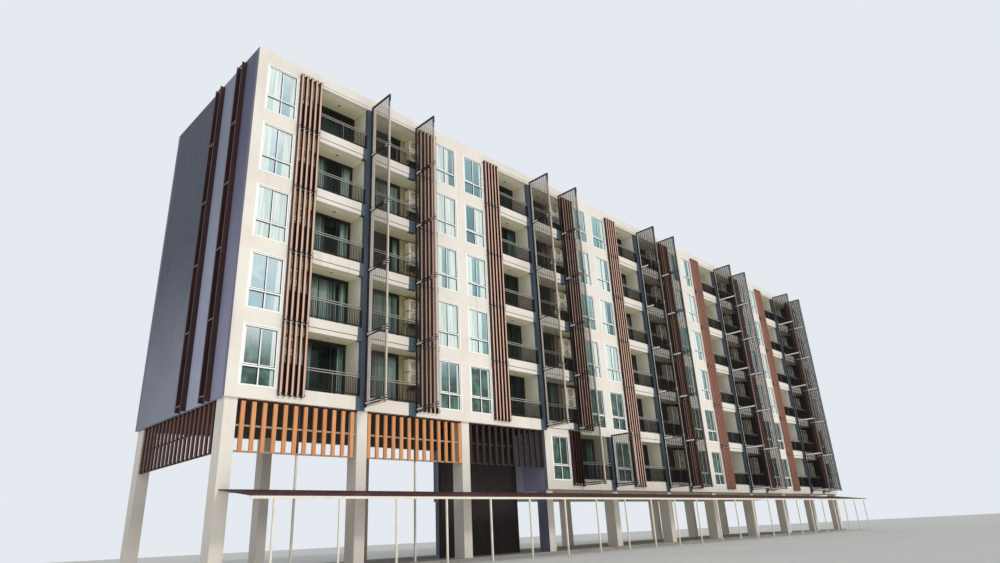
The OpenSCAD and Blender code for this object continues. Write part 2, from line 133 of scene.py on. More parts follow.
def storey_top(k):
    """Underside of the slab or roof beam over a storey."""
    if k == STOREYS - 1:
        return level(STOREYS) - ROOF_DROP
    return level(k + 1) - (BASE_DROP if k + 1 < 2 else SLAB_DOWN)


def surround(across, up, left, right, head, foot):
    """Four bars inside a rectangle: both sides at full height, then head and foot between them."""
    (a0, a1), (z0, z1) = across, up
    between = (a0 + left, a1 - right)
    return [((a0, a0 + left), up), ((a1 - right, a1), up),
            (between, (z1 - head, z1)), (between, (z0, z0 + foot))]


def add_object(name, data):
    obj = bpy.data.objects.new(name, data)
    bpy.context.scene.collection.objects.link(obj)
    return obj


class Shape:
    """Collects closed bodies in millimetres, each face with a material number and two uv pairs."""

    def __init__(self):
        self.points, self.faces, self.numbers, self.smooth = [], [], [], []
        self.cell, self.pick = [], []

    def add(self, points, faces, m=0, uvs=None, pick=(0, 0), smooth=False):
        n = len(self.points)
        self.points += points
        for i, face in enumerate(faces):
            self.faces.append([n + j for j in face])
            self.numbers.append(m)
            self.smooth.append(smooth)
            self.cell += uvs[i] if uvs else [(0, 0)] * len(face)
            self.pick += [pick] * len(face)

    def box(self, x, y, z, m=0, pick=(0, 0), uv=None):
        """x, y and z are pairs. uv is the pair of uv corners that the front and back faces show."""
        p = [(a, b, c) for c in z for b in y for a in x]
        faces = [(0, 2, 3, 1), (4, 5, 7, 6), (0, 1, 5, 4), (2, 6, 7, 3), (0, 4, 6, 2), (1, 3, 7, 5)]
        uvs = None
        if uv:
            corner = [(a, c) for c in (uv[0][1], uv[1][1]) for _ in y for a in (uv[0][0], uv[1][0])]
            uvs = [[corner[j] for j in face] for face in faces]
        self.add(p, faces, m, uvs, pick)

    def ring(self, centre, radius, thick, n=24, sides=5, m=0, axis="y"):
        """A round wire ring whose axis is y or z."""
        pts, faces = [], []
        for i in range(n):
            a = 2 * math.pi * i / n
            for j in range(sides):
                b = 2 * math.pi * j / sides
                r, d = radius + thick * math.cos(b), thick * math.sin(b)
                p, q = r * math.cos(a), r * math.sin(a)
                off = (p, d, q) if axis == "y" else (p, q, d)
                pts.append(tuple(c + o for c, o in zip(centre, off)))
        for i in range(n):
            for j in range(sides):
                a, b = i * sides + j, i * sides + (j + 1) % sides
                c, d = (i + 1) % n * sides + j, (i + 1) % n * sides + (j + 1) % sides
                faces.append((a, b, d, c) if axis == "z" else (a, c, d, b))
        self.add(pts, faces, m, smooth=True)

    def rod(self, a, b, r, n=6, m=0, cap=True):
        """A round bar from a to b."""
        a, b = Vector(a), Vector(b)
        d = (b - a).normalized()
        s = d.orthogonal().normalized()
        t = d.cross(s)
        pts = []
        for end in (a, b):
            for i in range(n):
                w = 2 * math.pi * i / n
                pts.append(tuple(end + r * (math.cos(w) * s + math.sin(w) * t)))
        faces = [(i, (i + 1) % n, n + (i + 1) % n, n + i) for i in range(n)]
        self.add(pts, faces, m, smooth=True)
        if cap:
            self.add(pts[:n], [tuple(range(n))[::-1]], m)
            self.add(pts[n:], [tuple(range(n))], m)

    def place(self, name, mats, slot, nodes=(), bevel=0.0):
        """Makes the piece, which rides on the block and takes the place of the nodes."""
        mesh = bpy.data.meshes.new(name)
        mesh.from_pydata([(frame_x(x), frame_y(y), z / 1000) for x, y, z in self.points], [], self.faces)
        for poly, number, smooth in zip(mesh.polygons, self.numbers, self.smooth):
            poly.material_index = number
            poly.use_smooth = smooth
        for layer, pairs in (("cell", self.cell), ("pick", self.pick)):
            for corner, pair in zip(mesh.uv_layers.new(name=layer).data, pairs):
                corner.uv = pair
        for material in mats:
            mesh.materials.append(material)
        obj = add_object(name, mesh)
        if bevel:
            mod = obj.modifiers.new("Edges", "BEVEL")
            mod.width = bevel
            mod.segments = 1
            mod.limit_method = "ANGLE"
        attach(obj, "root")
        if nodes:
            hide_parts(*nodes)


def srgb(*c):
    out = [(x / 255 / 12.92 if x <= 10.3 else ((x / 255 + 0.055) / 1.055) ** 2.4) for x in c]
    return (*out, 1.0)


class Nodes:
    """Adds nodes to a tree. What goes into a node is a socket or a plain value."""

    def __init__(self, tree):
        self.tree = tree

    def node(self, kind, inputs=(), **settings):
        n = self.tree.nodes.new(kind)
        for key, value in settings.items():
            setattr(n, key, value)
        for key, value in dict(inputs).items():
            self.put(n.inputs[key], value)
        return n

    def put(self, socket, value):
        if isinstance(value, bpy.types.NodeSocket):
            self.tree.links.new(value, socket)
        else:
            socket.default_value = value

    def math(self, op, a, b=0.0, clamp=False):
        return self.node("ShaderNodeMath", {0: a, 1: b}, operation=op, use_clamp=clamp).outputs[0]


class Paint(Nodes):
    """Builds a procedural material. Colours are sockets or three numbers to 255."""

    def __init__(self, name, rough):
        self.material = bpy.data.materials.new(name)
        self.material.use_nodes = True
        super().__init__(self.material.node_tree)
        self.shader = self.tree.nodes["Principled BSDF"]
        self.rough(rough)
        self.put(self.shader.inputs["Metallic"], 0.0)
        self.place = self.node("ShaderNodeTexCoord").outputs["Object"]

    def stretch(self, scale):
        n = self.node("ShaderNodeVectorMath", {0: self.place, 1: scale}, operation="MULTIPLY")
        return n.outputs[0]

    def noise(self, scale, detail=3.0, where=None, rough=0.55, distort=0.0):
        return self.node("ShaderNodeTexNoise", {
            "Vector": where or self.place, "Scale": scale, "Detail": detail, "Roughness": rough,
            "Distortion": distort}).outputs["Fac"]

    def dice(self, vector):
        """A random number for each whole place."""
        n = self.node("ShaderNodeTexWhiteNoise", {"Vector": vector}, noise_dimensions="3D")
        return n.outputs["Value"]

    def add(self, a, b):
        return self.math("ADD", a, b)

    def sub(self, a, b):
        return self.math("SUBTRACT", a, b)

    def mul(self, a, b):
        return self.math("MULTIPLY", a, b)

    def size(self, a):
        return self.math("ABSOLUTE", a)

    def over(self, a, b):
        """1 where a is over b, else 0."""
        return self.math("GREATER_THAN", a, b)

    def under(self, a, b):
        return self.math("LESS_THAN", a, b)

    def cell(self, a, width):
        """Number of the cell of this width that a lies in."""
        return self.math("FLOOR", self.math("DIVIDE", a, width))

    def ramp(self, value, low, high, a=0.0, b=1.0):
        """Goes from a to b while the value goes from low to high."""
        ends = {"Value": value, "From Min": low, "From Max": high, "To Min": a, "To Max": b}
        n = self.node("ShaderNodeMapRange", ends, clamp=True, interpolation_type="SMOOTHSTEP")
        return n.outputs[0]

    def mix(self, fac, a, b):
        a, b = [srgb(*c) if isinstance(c, tuple) else c for c in (a, b)]
        return self.node("ShaderNodeMix", {0: fac, 6: a, 7: b}, data_type="RGBA").outputs[2]

    def mix_all(self, fac, first, second):
        """Mixes two lists of tones, one pair after another."""
        return [self.mix(fac, a, b) for a, b in zip(first, second)]

    def parts(self, vector=None):
        return self.node("ShaderNodeSeparateXYZ", {0: vector or self.place}).outputs[:]

    def join(self, x, y, z):
        return self.node("ShaderNodeCombineXYZ", {0: x, 1: y, 2: z}).outputs[0]

    def uv(self, name):
        return self.parts(self.node("ShaderNodeUVMap", uv_map=name).outputs[0])[:2]

    def normal(self):
        return self.parts(self.node("ShaderNodeTexCoord").outputs["Normal"])

    def along_bay(self, start):
        """Metres along the block from a place that comes once in each bay."""
        shifted = self.add(self.parts()[0], (LENGTH / 2 - MARGIN - start) / 1000)
        return self.math("FLOORED_MODULO", shifted, BAY / 1000)

    def dusty(self, colour, dust, scale, most):
        return self.mix(self.ramp(self.noise(scale, 5.0), 0.45, 0.75, 0.0, most), colour, dust)

    def colour(self, value):
        self.put(self.shader.inputs["Base Color"], value)

    def rough(self, value):
        self.put(self.shader.inputs["Roughness"], value)

    def bump(self, height, strength, distance):
        n = self.node("ShaderNodeBump", {"Strength": strength, "Distance": distance, "Height": height})
        self.put(self.shader.inputs["Normal"], n.outputs[0])


def plaster(p, main, worn, grime_and_shade, streak=0.3, specks=0.2, grain=0.25, broad=0.9, shade=None,
            run=(9.0, 9.0, 0.55), run_from=0.56, fine=160.0, coarse=14.0):
    """Painted render: broad fading, streaks that run down, specks, a fine trowelled grain, and painted
    shade where a shade mask is given.
    """
    c = p.mix(p.ramp(p.noise(broad, 4.0), 0.35, 0.7), main, worn)
    # Painted shade: where a shade mask is given, the render darkens toward its third tone
    if shade is not None:
        c = p.mix(shade, c, grime_and_shade)
    if streak:
        c = p.mix(p.ramp(p.noise(1.0, 5.0, p.stretch(run)), run_from, 0.8, 0.0, streak), c, grime_and_shade)
    if specks:
        c = p.mix(p.ramp(p.noise(38.0, 3.0), 0.62, 0.8, 0.0, specks), c, grime_and_shade)
    p.colour(c)
    p.rough(p.ramp(p.noise(6.0, 3.0), 0.3, 0.7, 0.78, 0.92))
    p.bump(p.add(p.noise(fine, 4.0), p.mul(p.noise(coarse, 3.0), 0.7)), grain, 0.003)
    return p.material


def render_coat(name, colours, streak=0.35, grain=0.25):
    """Render in one set of colours."""
    return plaster(Paint(name, 0.85), *colours, streak=streak, specks=0.22, grain=grain)


def front_coat(name, front, end):
    """The front's colours, and the gable's on the end faces of the block and of its low storey."""
    p = Paint(name, 0.85)
    x = p.parts()[0]
    skin = 0.0005
    ends = p.over(p.size(x), LENGTH / 2000 - skin)
    low_end = p.under(p.size(p.sub(x, frame_x(line(PODIUM) - COL_HALF))), skin)
    return plaster(p, *p.mix_all(p.math("MAXIMUM", ends, low_end), front, end))


def gable_coat(name, near, middle, rear):
    """Painted light and shade on the gable: bluish near the front, paler between the slots, grey behind
    them, darker upward and lighter at its foot.
    """
    p = Paint(name, 0.85)
    # Heights between which the painted shade darkens the gable upward, reaching lower on the rear panel
    shade_from, shade_to, rear_lower = 2.6, 8.8, 1.9
    y, z = p.parts()[1:]
    first, second = [frame_y(s + SLOT_W) for s in SLOTS]
    back = p.over(y, second)
    colours = p.mix_all(back, p.mix_all(p.over(y, first), near, middle), rear)
    top = p.sub(shade_to, p.mul(back, rear_lower))
    return plaster(p, *colours, streak=0.4, broad=0.7, shade=p.ramp(z, shade_from, top, 0.0, 0.9),
                   run=(8.0, 8.0, 0.5), run_from=0.54, fine=150.0, coarse=12.0)


def pier_coat(name, left, right):
    """Slate left of the screen that stands on the pier, cream right of it."""
    p = Paint(name, 0.85)
    pale = p.under(p.along_bay(HALF), 2 * COL_HALF / 1000)
    return plaster(p, *p.mix_all(pale, left, right), specks=0)


def recess_coat(name, near, far):
    """The wall behind the units, darker along the block as painted shade that deepens toward the far end.
    """
    p = Paint(name, 0.85)
    main, worn = p.mix_all(p.ramp(p.parts()[0], *WALL_SHADE_DEEPENS), near, far)
    return plaster(p, main, worn, worn, streak=0)


def soffit_coat(name, pale, dark, roof):
    """The floor slabs, painted dark as shade on the underside over the podium, and grey on the roof."""
    p = Paint(name, 0.85)
    under_floor, past_wall, over_beam = 40, 50, 5
    x, z = p.parts()[::2]
    low = p.under(z, (level(1) - under_floor) / 1000)
    # Painted shade on the underside over the podium
    over_podium = p.mul(low, p.under(x, frame_x(line(PODIUM) - COL_HALF + past_wall)))
    above = p.over(z, (level(STOREYS) - ROOF_DROP + over_beam) / 1000)
    colours = p.mix_all(above, p.mix_all(over_podium, pale, dark), roof)
    return plaster(p, *colours, streak=0)


def satin(p, colour, low, high):
    """Painted metal with an uneven gloss and a faint grain."""
    p.colour(colour)
    p.rough(p.ramp(p.noise(20.0, 4.0), 0.35, 0.7, low, high))
    p.bump(p.noise(240.0, 3.0), 0.06, 0.001)
    return p.material


def painted_metal(name, main, worn, rough=0.42, edge=0.3):
    """One paint, dusty and a little chipped."""
    p = Paint(name, rough)
    chips = p.ramp(p.noise(55.0, 3.0), 0.68, 0.74, 0.0, 0.35)
    return satin(p, p.mix(chips, p.dusty(main, worn, 7.0, edge), worn), rough - 0.1, rough + 0.2)


def blade_paint(name, near, far):
    """Blades of the screens, paler near the left end of the block, where the light catches them."""
    p = Paint(name, 0.5)
    c = p.mix(p.ramp(p.parts()[0], *BLADES_DARKEN), near, far)
    return satin(p, p.dusty(c, far, 9.0, 0.3), 0.4, 0.65)


def post_paint(name, main, worn, shade_behind_boards):
    """Posts of the podium, painted dark brown as shade where they stand behind the boards."""
    p = Paint(name, 0.45)
    behind = p.over(p.parts()[2], (BASE + BOARD_UP) / 1000)
    return satin(p, p.mix(behind, p.dusty(main, worn, 7.0, 0.3), shade_behind_boards), 0.32, 0.62)


def tube_paint(name, dark, pale, dust):
    """Dark tubes of the screens; the outer tubes near the left end of the block are painted paler as lit.
    """
    p = Paint(name, 0.45)
    inner_y, lit_to = -2.7, 9.55
    x, y, z = p.parts()
    # Painted light on the outer tubes, fading along the block
    outer = p.mul(p.under(y, inner_y), p.under(z, lit_to))
    near = p.ramp(x, *TUBE_LIGHT_FADES, 1.0, 0.15)
    c = p.mix(p.mul(outer, p.mul(near, 0.8)), dark, pale)
    return satin(p, p.dusty(c, dust, 9.0, 0.35), 0.35, 0.6)


class Boards(Paint):
    """Upright boards: each board has its own tone, with a long grain and a few darker bands."""

    def __init__(self, name, light, dark, step, across="x"):
        super().__init__(name, 0.55)
        x, y, z = self.parts()
        board = self.cell(x if across == "x" else y, step / 1000)
        tone = self.dice(self.join(board, self.cell(z, STOREY / 1000), 3.0))
        self.grain = self.noise(1.0, 6.0, self.stretch((70.0, 70.0, 2.2)), 0.6, 0.4)
        bands = self.noise(1.0, 3.0, self.stretch((22.0, 22.0, 0.9)))
        fac = self.add(self.ramp(self.grain, 0.3, 0.7, 0.0, 0.65), self.mul(tone, 0.35))
        c = self.mix(self.math("MULTIPLY", fac, 1.0, clamp=True), light, dark)
        self.tint = self.mix(self.ramp(bands, 0.6, 0.75, 0.0, 0.3), c, dark)

    def shade_tops(self):
        """Dark tops of the podium's boards, under the slab."""
        band = 34
        top = self.over(self.parts()[2], (level(1) - BASE_DROP - band) / 1000)
        self.tint = self.mix(top, self.tint, (56, 28, 25))

    def done(self):
        self.colour(self.tint)
        self.rough(self.ramp(self.grain, 0.3, 0.7, 0.45, 0.68))
        self.bump(self.grain, 0.3, 0.0015)
        return self.material


def podium_boards():
    """Orange boards with grey rails behind them; in the third panel both are painted dark as shade."""
    p = Boards("orange_boards", (236, 172, 116), (196, 124, 78), BOARD_STEP)
    x, y = p.parts()[:2]
    # Painted shade over the third panel, on the boards and their rails
    third_panel_shade = p.ramp(x, frame_x(line(2) - 20), frame_x(line(2) + 20))
    p.tint = p.mix(third_panel_shade, p.tint, p.mix(p.grain, (54, 32, 29), (30, 19, 19)))
    rails = p.under(p.size(y), (DEPTH / 2 - COL_IN - BOARD_T + 0.2) / 1000)
    p.tint = p.mix(rails, p.tint, p.mix(third_panel_shade, (172, 150, 128), (60, 50, 50)))
    p.shade_tops()
    return p.done()


def gable_boards():
    """Brown boards: the podium's boards in a darker tone painted as the shade on the gable, with greyer
    rails behind them.
    """
    p = Boards("brown_boards", (98, 54, 42), (58, 32, 27), BOARD_STEP, "y")
    rails = p.over(p.parts()[0], frame_x(COL_END + BOARD_T - 0.2))
    p.tint = p.mix(rails, p.tint, (92, 66, 58))
    p.shade_tops()
    return p.done()


def slat_boards():
    """Dark slats with front faces painted pale as lit, brick-red toward the far end of the block, where
    sides are painted lighter and fronts darker to even out light and shade.
    """
    p = Boards("slat_boards", (62, 32, 25), (30, 17, 14), SLAT_STEP)
    # Painted light: the front faces pale as if lit
    lit = p.ramp(p.mul(p.normal()[1], -1.0), 0.6, 0.9)
    far = p.ramp(p.parts()[0], *SLATS_REDDEN)
    from_edge = p.sub(HALF / 1000, p.size(p.sub(p.along_bay(0), HALF / 1000)))
    across = p.math("FLOORED_MODULO", p.sub(from_edge, STRIP_IN / 1000), SLAT_STEP / 1000)
    middle = p.ramp(p.size(p.sub(across, SLAT_W / 2000)), 0.016, 0.0215, 1.0, 0.0)
    # Far along the block: sides painted lighter, fronts darker, evening out their light and shade
    brick = p.mix(p.ramp(p.grain, 0.3, 0.7), (176, 124, 104), (148, 100, 84))
    front = p.mix(far, (230, 188, 168), (146, 104, 88))
    shown = p.mul(p.mul(lit, middle), p.ramp(p.grain, 0.25, 0.75, 1.0, 0.72))
    p.tint = p.mix(shown, p.mix(far, p.tint, brick), front)
    return p.done()


def tile_finish():
    """Dull red tiles, each with its own tone, kept dark in part as painted shade, with painted shade in
    the valleys between them.
    """
    p = Paint("roof_tiles", 0.6)
    wide, long = 0.084, 0.17
    x, y = p.parts()[:2]
    tone = p.dice(p.join(p.cell(x, wide), p.cell(y, long), 1.0))
    c = p.mix(tone, (88, 50, 52), (60, 34, 37))
    half = (LENGTH / 2 - CANOPY_IN) / 1000
    turns = p.math("DIVIDE", p.add(x, half), 2 * half / TILES)
    wave = p.size(p.math("SINE", p.mul(turns, math.pi)))
    # Painted shade in the valleys between the tiles
    c = p.mix(p.ramp(wave, 0.15, 0.75), (48, 24, 28), c)
    c = p.mix(p.ramp(p.noise(9.0, 5.0), 0.5, 0.75, 0.0, 0.3), c, (140, 104, 104))
    p.colour(c)
    p.rough(p.ramp(p.noise(30.0, 3.0), 0.3, 0.7, 0.5, 0.75))
    p.bump(p.noise(120.0, 4.0), 0.2, 0.002)
    return p.material


def glassy(p, colour, low, high):
    """Smooth glass with a slight wave."""
    p.colour(colour)
    p.rough(p.ramp(p.noise(2.0, 2.0), 0.3, 0.7, low, high))
    p.bump(p.noise(1.6, 1.0), 0.04, 0.01)
    return p.material


def window_pane():
    """Glass with painted reflections of sky, clouds and trees, over a lit curtain with folds, drawn apart
    at a different width in every window.
    """
    p = Paint("window_panes", 0.07)
    p.shader.inputs["Specular IOR Level"].default_value = 0.3
    tree_tint_to, tree_low, tree_high, tree_top = 2.6, 3.2, 4.1, 4.6
    u, v = p.uv("cell")
    a, b = p.uv("pick")
    x, z = p.parts()[::2]
    folds = p.noise(1.0, 3.0, p.join(p.mul(u, 15.0), p.mul(v, 0.7), p.mul(a, 57.0)), 0.5)
    cloth = p.mix(p.ramp(folds, 0.35, 0.68), (234, 243, 240), (192, 213, 210))
    # Painted tree reflection dims and greens the curtains of the low storeys
    cloth = p.mix(p.ramp(z, tree_tint_to, tree_top), p.mix(0.45, cloth, (126, 150, 132)), cloth)
    deep = p.ramp(p.dice(p.join(p.mul(a, 41.0), p.mul(b, 23.0), 2.0)), 0.2, 0.9)
    # Painted reflections: aqua and teal sky, paler with clouds toward the left end, and dark trees in the
    # low storeys
    aqua = p.mix(v, (100, 150, 156), (146, 190, 196))
    teal = p.mix(v, (34, 82, 92), (62, 120, 130))
    pale = p.mix(v, (166, 198, 212), (198, 220, 228))
    cloud_reflection = p.mix(p.ramp(p.noise(1.7, 4.0, None, 0.5, 0.6), 0.42, 0.66), pale, (234, 241, 245))
    sky_reflection = p.mix(p.ramp(x, *SKY_REFLECTION_PALES, 0.85, 0.0), p.mix(deep, aqua, teal), cloud_reflection)
    tree_reflection = p.mix(p.ramp(p.noise(5.0, 5.0), 0.42, 0.66), (16, 46, 38), (66, 108, 92))
    reflected_skyline = p.ramp(x, *TREE_REFLECTION_RISES, tree_low, tree_high)
    clear = p.mix(p.ramp(z, reflected_skyline, tree_top), tree_reflection, sky_reflection)
    left, right = p.mul(a, 0.75), p.mul(b, 0.5)
    from_left = p.ramp(u, left, p.add(left, 0.03))
    from_right = p.ramp(u, p.sub(0.97, right), p.sub(1.0, right))
    gap = p.mul(from_left, p.sub(1.0, from_right))
    return glassy(p, p.mix(p.mul(gap, 0.92), cloth, clear), 0.05, 0.11)


def door_pane():
    """Dark green sliding glass, darker toward the top as painted shade, with patches of painted greenish
    reflection and a pale curtain behind part of it.
    """
    p = Paint("door_panes", 0.08)
    p.shader.inputs["Specular IOR Level"].default_value = 0.3
    u, v = p.uv("cell")
    a, b = p.uv("pick")
    # Painted shade toward the top of each leaf, then patches of painted greenish reflection
    deep = p.mix(v, (26, 42, 38), (14, 22, 21))
    deep = p.mix(p.ramp(p.noise(2.4, 4.0), 0.52, 0.7, 0.0, 0.6), deep, (30, 66, 58))
    folds = p.noise(1.0, 3.0, p.join(p.mul(u, 24.0), p.mul(v, 0.5), p.mul(a, 91.0)), 0.5)
    near = p.ramp(p.parts()[0], *DOORS_DARKEN, 1.0, 0.0)
    cloth = p.mix(p.ramp(folds, 0.36, 0.66), p.mix(near, (96, 134, 124), (168, 194, 186)),
                  p.mix(near, (38, 66, 60), (78, 108, 102)))
    left, right = p.mul(a, 0.8), p.mul(b, 0.5)
    on_left = p.ramp(u, p.sub(left, 0.1), left, 1.0, 0.0)
    on_right = p.ramp(u, p.sub(1.02, right), p.sub(1.04, right))
    top = p.ramp(v, p.add(0.55, p.mul(b, 0.4)), 0.98, 1.0, 0.25)
    cover = p.mul(p.math("MAXIMUM", on_left, on_right), p.mul(top, 0.75))
    return glassy(p, p.mix(cover, deep, cloth), 0.06, 0.12)


def slot_pane():
    """Dark glass of the gables."""
    p = Paint("slot_panes", 0.1)
    c = p.mix(p.uv("cell")[1], (26, 30, 36), (46, 54, 66))
    c = p.mix(p.ramp(p.noise(3.0, 3.0), 0.45, 0.7, 0.0, 0.6), c, (70, 78, 92))
    return glassy(p, c, 0.08, 0.14)


front_tones = ((236, 230, 221), (228, 219, 208), (186, 175, 162))
cream = front_coat("cream_render", front_tones, ((128, 130, 152), (118, 120, 142), (92, 95, 112)))
# Gable tones near the front, between the slots and behind them are painted light and shade; the third of
# each is grime and the painted shade toward the top
lavender = gable_coat("lavender_render", ((152, 152, 178), (140, 140, 166), (94, 92, 118)),
                      ((178, 183, 206), (168, 173, 196), (136, 140, 158)),
                      ((152, 157, 171), (141, 146, 160), (72, 78, 91)))
slate = render_coat("slate_render", ((90, 105, 116), (78, 92, 104), (60, 70, 80)))
pier_render = pier_coat("pier_render", ((86, 97, 110), (74, 84, 98), (54, 60, 72)), front_tones)
# The second set of soffit tones is the painted shade under the slab over the podium
soffit = soffit_coat("soffit_render", ((250, 244, 214), (243, 234, 200), (206, 194, 158)),
                     ((58, 42, 34), (46, 34, 28), (32, 24, 20)),
                     ((158, 156, 150), (138, 136, 130), (100, 97, 92)))
beige = render_coat("beige_render", ((236, 231, 216), (228, 222, 204), (192, 184, 164)), 0.3)
# Olive near the left end to dark maroon far along: painted shade on the walls beside and behind the units
unit_wall = recess_coat("unit_wall_render", ((176, 164, 132), (158, 146, 112)),
                        ((70, 42, 38), (52, 32, 30)))
bare = render_coat("bare_concrete", ((168, 164, 156), (148, 144, 136), (104, 100, 94)), 0.5, 0.5)
# Lintels painted dim as the shade under the balcony ceilings
lintel_shade = render_coat("lintel_render", ((96, 90, 78), (82, 76, 66), (60, 56, 50)))
shade = render_coat("recess_render", ((52, 45, 45), (43, 38, 38), (30, 27, 27)))
orange_wood, brown_wood, slat_wood = podium_boards(), gable_boards(), slat_boards()
# Dark brown guard boards, painted near-black as the shade in the gaps between the slats
guard_wood = Boards("guard_boards", (40, 22, 18), (22, 13, 11), SLAT_STEP).done()
fin_wood = Boards("fin_boards", (66, 34, 30), (36, 20, 19), 35, "y").done()
black_metal = painted_metal("black_metal", (28, 27, 28), (60, 58, 56))
# The pale tone is painted light on the outer tubes
tube_metal = tube_paint("screen_metal", (34, 32, 35), (190, 180, 170), (104, 97, 91))
bar_metal = blade_paint("bar_metal", (74, 62, 57), (36, 30, 31))
light_metal = painted_metal("cream_metal", (226, 219, 206), (178, 168, 152))
rail_metal = painted_metal("rail_metal", (176, 169, 160), (138, 130, 120))
# The last tone is painted shade on the posts behind the boards
thin_post = post_paint("podium_post_paint", (226, 219, 206), (178, 168, 152), (58, 38, 28))
post_metal = painted_metal("post_metal", (118, 112, 106), (86, 80, 76))
taupe_metal = painted_metal("taupe_metal", (206, 194, 182), (168, 154, 142))
white_metal = painted_metal("white_metal", (252, 254, 252), (226, 226, 220), 0.38, 0.2)
case_metal = painted_metal("case_metal", (252, 248, 230), (226, 217, 190), 0.4)
hollow_dark = painted_metal("hollow_dark", (30, 30, 31), (52, 50, 48), 0.7, 0.2)
fan_shade = painted_metal("fan_shade", (226, 219, 192), (186, 178, 152), 0.6)
tiles = tile_finish()
window_glass, door_glass, slot_glass = window_pane(), door_pane(), slot_pane()

finish = {
    cream: ["columns", "long_parapets", "front_spandrels", "front_wall_piers", "low_spandrels",
            "rear_spandrels", "rear_wall_piers", "balcony_fascias"],
    lavender: ["podium_end_wall", "end_parapets", "gable_walls", "gable_spandrels"],
    slate: ["fascia_blocks"],
    pier_render: ["balcony_piers"],
    soffit: ["floor_slab_%d" % k for k in range(STOREYS)] + ["roof_slab"],
    beige: ["balcony_party_walls"],
    unit_wall: ["balcony_side_walls", "balcony_jambs"],
    lintel_shade: ["balcony_lintels"],
    bare: ["ground_slab"],
    shade: ["podium_recess_wall"],
    orange_wood: ["podium_slats"],
    brown_wood: ["gable_slats"],
    slat_wood: ["slat_strips"],
    fin_wood: ["gable_fins"],
    tube_metal: ["screen_frames"],
    post_metal: ["fin_brackets"],
    thin_post: ["podium_posts"],
    light_metal: ["canopy_frame", "canopy_posts"],
}
for material, names in finish.items():
    for name in names:
        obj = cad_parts[name]
        obj.data.materials.clear()
        obj.data.materials.append(material)


def window_set(front):
    """Sliding windows: an outer frame, two upper sashes, two lower panes, a dark seal over the rail, dark
    strips painted as shadow under the rail and the head, along the right jamb and beside the mullion, and
    trim.
    """
    bar, foot, sash, latch, lap, seal_and_shadow, shadow_strip = 26, 30, 22, 24, 12, 12, 14
    trim, trim_up, trim_t, mid_up = 30, 20, 6, 338
    frame_deep, rail_deep, post_deep, low_pane = (14, 62), (12, 58), (16, 52), (34, 40)
    sash_deep, sash_t, glass_in, glass_t, inset = (22, 40), 16, 5, 5, 16
    sill_deep, sill_down = ((-14, 16), seal_and_shadow) if front else ((1, 16), 0)
    frames, panes = Shape(), Shape()

    def deep(stretch):
        return turned(stretch, DEPTH, not front)

    for h, k in flats():
        x0, x1 = span(h, k, WIN_IN, WIN_IN + WIN_W)
        z0 = level(k) + WIN_SILL
        z1 = z0 + WIN_H
        mid, rail = (x0 + x1) / 2, z0 + mid_up
        left, right, low, high = x0 + bar, x1 - bar, z0 + foot, z1 - bar
        a = random.choice((0.0, 0.0, 0.35, 0.62, 0.9, 1.0)) if k > 0 else random.uniform(0, 0.4)
        pick = (a if k > 1 else a * 0.2, random.random() * (1 if k > 1 else 0.3))
        for x, z in surround((x0, x1), (z0, z1), bar, bar, bar, foot):
            frames.box(x, deep(frame_deep), z)
        frames.box((left, right), deep(rail_deep), (rail, rail + bar))
        # Dark strips: the seal over the rail, and painted shadow under the rail, under the head and along
        # the right jamb
        for x, y, z in (((left, right), (20, 54), (rail + bar, rail + bar + seal_and_shadow)),
                        ((left, right), (15, 30), (rail - shadow_strip, rail)),
                        ((left, right - seal_and_shadow), (18, 22), (high - shadow_strip, high)),
                        ((right - seal_and_shadow, right), (18, 34), (low, high))):
            frames.box(x, deep(y), z, m=1)
        if front:
            for x in ((x0 - trim, x0), (x1, x1 + trim)):
                frames.box(x, (-trim_t, trim_t), (z0 - seal_and_shadow, z1 + trim_up))
            frames.box((x0, x1), (-trim_t, trim_t), (z1, z1 + trim_up))
        frames.box((x0 + 10, x1 - 10), deep(sill_deep), (z0 - sill_down, z0 + 4))
        up = (rail + bar + seal_and_shadow, high)
        glass_up = (up[0] + inset, up[1] - inset)
        for (a0, a1), d in zip(((left, mid + lap), (mid - lap, right)), sash_deep):
            for x, z in surround((a0, a1), up, sash, latch, sash, sash):
                frames.box(x, deep((d, d + sash_t)), z)
            uv = [((x - x0) / WIN_W, (z - z0) / WIN_H) for x, z in zip((a0, a1), up)]
            glass = deep((d + glass_in, d + glass_in + glass_t))
            panes.box((a0 + inset, a1 - inset), glass, glass_up, pick=pick, uv=uv)
        frames.box((mid - lap, mid + lap), deep(post_deep), (low, rail))
        # Painted shadow of the mullion, on its left side
        frames.box((mid - lap - seal_and_shadow - 4, mid - lap), deep((18, 38)), (low, high), m=1)
        for a0, a1 in ((x0 + 20, mid - 6), (mid + 6, x1 - 20)):
            uv = (((a0 - x0) / WIN_W, 0.02), ((a1 - x0) / WIN_W, 0.31))
            panes.box((a0, a1), deep(low_pane), (z0 + 24, rail + 6), pick=pick, uv=uv)
    side = "front" if front else "rear"
    frames.place(side + "_window_frames", [white_metal, black_metal], "white_metal", bevel=0.0025)
    panes.place(side + "_window_panes", [window_glass], "window_glass", [side + "_windows"])


